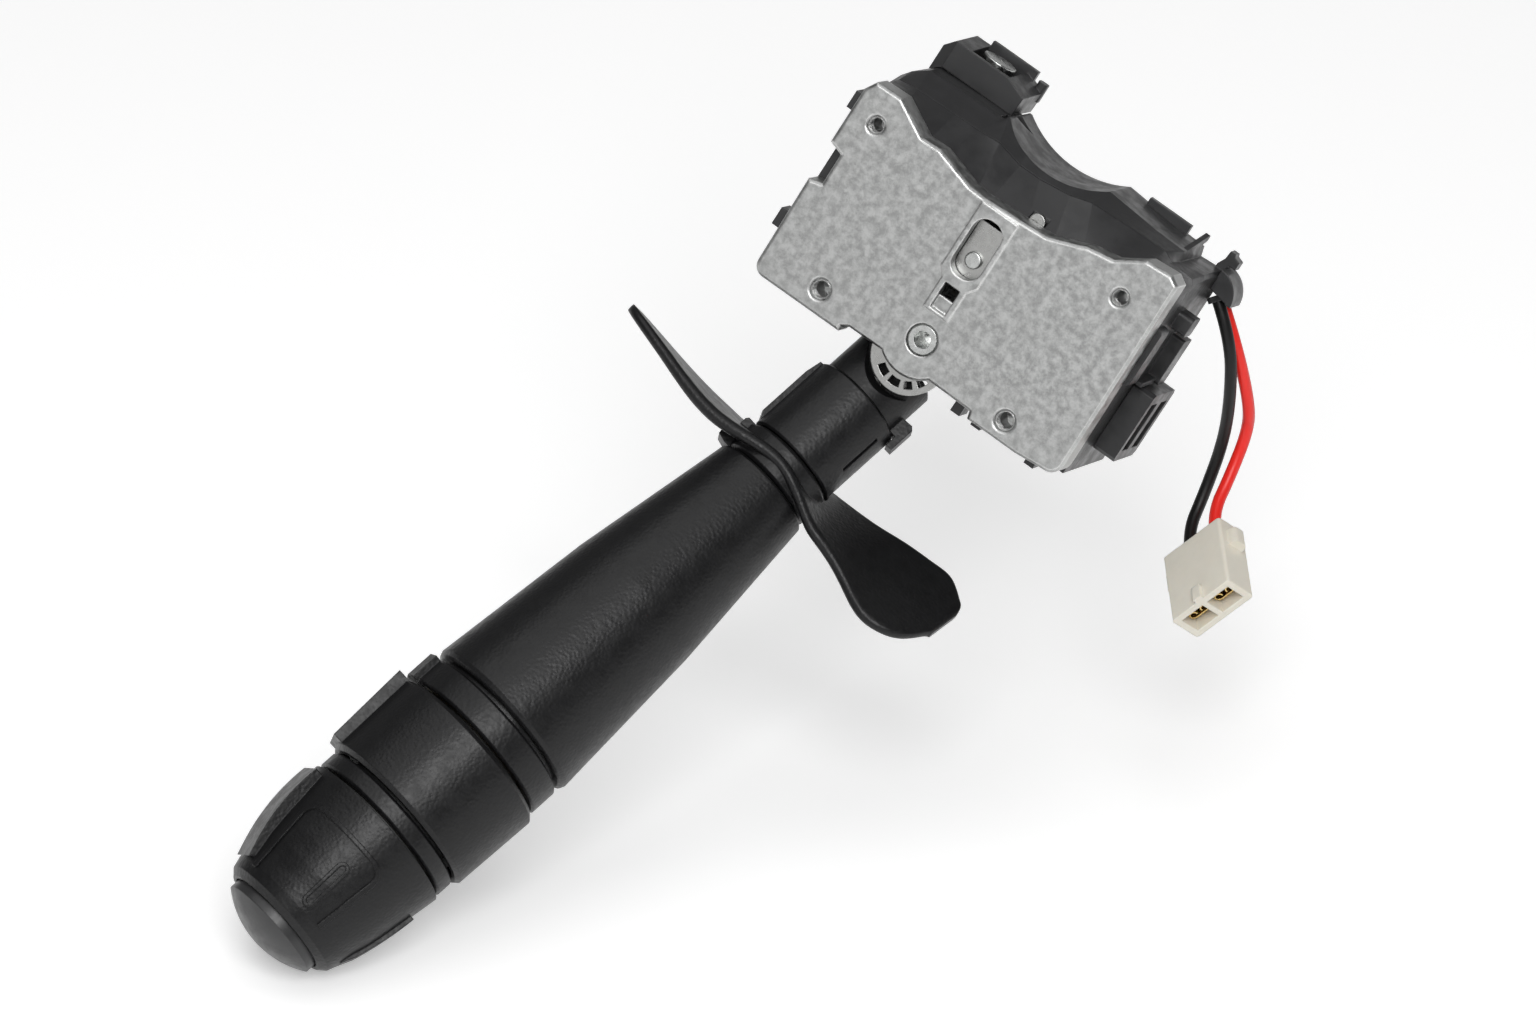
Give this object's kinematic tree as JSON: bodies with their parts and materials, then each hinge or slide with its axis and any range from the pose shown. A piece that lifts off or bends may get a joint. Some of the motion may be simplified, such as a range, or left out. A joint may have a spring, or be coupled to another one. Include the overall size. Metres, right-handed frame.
{
  "type": "combination stalk switch",
  "caption": "Steering column stalk switch: cast plate and case, swinging lever with paddle, rotary ring, end knob and push button, socket and a short plug lead.",
  "frame": {"origin": "midway between the two lower screw holes, on the mounting plate's ground face", "axes": "X along the mounting plate, Y back from the plate into the housing, Z from the lower screws to the plate's concave edge; the lever hangs towards -Z"},
  "size_m": [0.1557, 0.1582, 0.2504],
  "materials": {
    "die_cast_aluminium": "as-cast, faintly mottled, with bright rubbed edges",
    "steel": "plated, satin",
    "zinc": "zinc die casting, dull",
    "grained_black": "black, finely grained",
    "smooth_black": "black, smooth, half matt",
    "inner_plastic": "dark moulded plastic",
    "ivory_nylon": "natural nylon, slightly waxy",
    "brass": "stamped, bright",
    "red_insulation": "soft insulation, dark red",
    "black_insulation": "soft insulation, black"
  },
  "bodies": {
    "base": {"base_plate": "die_cast_aluminium", "pivot_pin": "steel", "front_case": "smooth_black", "rear_case": "smooth_black", "rear_cover": "smooth_black", "case_screws": "steel", "contact_holder": "smooth_black", "horn_spring": "steel", "socket_shell": "smooth_black", "socket_blades": "brass", "wire_hood": "smooth_black", "wire_grommet": "smooth_black", "red_wire": "red_insulation", "black_wire": "black_insulation", "plug_body": "ivory_nylon", "plug_terminals": "brass", "detent_track": "inner_plastic", "contact_board": "inner_plastic", "fixed_contacts": "brass", "pawl_spring": "steel"},
    "carrier": {"lever_carrier": "zinc", "tilt_pin": "steel", "wiper_contact": "brass", "detent_spring": "steel"},
    "plunger": {"detent_plunger": "steel"},
    "lever": {"lever_neck": "grained_black", "collar_sleeve": "grained_black", "core_tube": "steel", "lever_leads": "red_insulation", "handle_grip": "grained_black", "index_ring_upper": "grained_black", "ring_carrier": "inner_plastic", "ring_contact_disc": "inner_plastic", "index_ring_lower": "grained_black", "knob_carrier": "inner_plastic", "knob_contact_disc": "inner_plastic", "button_spring": "steel"},
    "paddle": {"paddle": "grained_black"},
    "ring": {"rotary_ring": "grained_black", "ring_wiper": "brass"},
    "knob": {"end_knob": "grained_black", "knob_wiper": "brass"},
    "button": {"end_button": "smooth_black"},
    "pawl": {"cancel_pawl": "zinc", "pawl_rivet": "steel"},
    "horn": {"horn_contact": "steel"}
  },
  "joints": [
    {"name": "turn_swing", "type": "hinge", "parent": "base", "child": "carrier", "pos_m": [0, 0, 0.0043], "axis": [0, 1, 0], "range_deg": [-12, 12]},
    {"name": "detent_press", "type": "slide", "parent": "carrier", "child": "plunger", "axis": [-0.1857, 0, -0.9826], "range_m": [0, 0.0008], "stiffness_N_per_m": 1500, "springref_m": -0.002, "deforming": ["detent_spring"]},
    {"name": "flash_pull", "type": "hinge", "parent": "carrier", "child": "lever", "pos_m": [-0.00305, 0.02182, 0.00141], "axis": [0.9826, 0, -0.1857], "range_deg": [-4, 4], "stiffness_Nm_per_rad": 6},
    {"name": "paddle_turn", "type": "hinge", "parent": "lever", "child": "paddle", "pos_m": [-0.01127, -0.00271, -0.04207], "axis": [0.1624, 0.4848, 0.8594], "range_deg": [-15, 15], "stiffness_Nm_per_rad": 0.4},
    {"name": "ring_turn", "type": "hinge", "parent": "lever", "child": "ring", "pos_m": [-0.0292, -0.05624, -0.13695], "axis": [0.1624, 0.4848, 0.8594], "range_deg": [-30, 30]},
    {"name": "knob_turn", "type": "hinge", "parent": "lever", "child": "knob", "pos_m": [-0.03455, -0.07224, -0.16531], "axis": [0.1624, 0.4848, 0.8594], "range_deg": [-30, 60]},
    {"name": "button_press", "type": "slide", "parent": "knob", "child": "button", "axis": [0.1624, 0.4848, 0.8594], "range_m": [0, 0.002], "stiffness_N_per_m": 1200, "springref_m": -0.001, "deforming": ["button_spring"]},
    {"name": "cancel_slide", "type": "slide", "parent": "base", "child": "pawl", "axis": [0, 0, 1], "range_m": [0, 0.0025], "stiffness_N_per_m": 300, "springref_m": -0.001, "deforming": ["pawl_spring"]},
    {"name": "horn_press", "type": "slide", "parent": "base", "child": "horn", "axis": [0, 0, -1], "range_m": [0, 0.0014], "stiffness_N_per_m": 800, "springref_m": -0.001, "deforming": ["horn_spring"]}
  ]
}
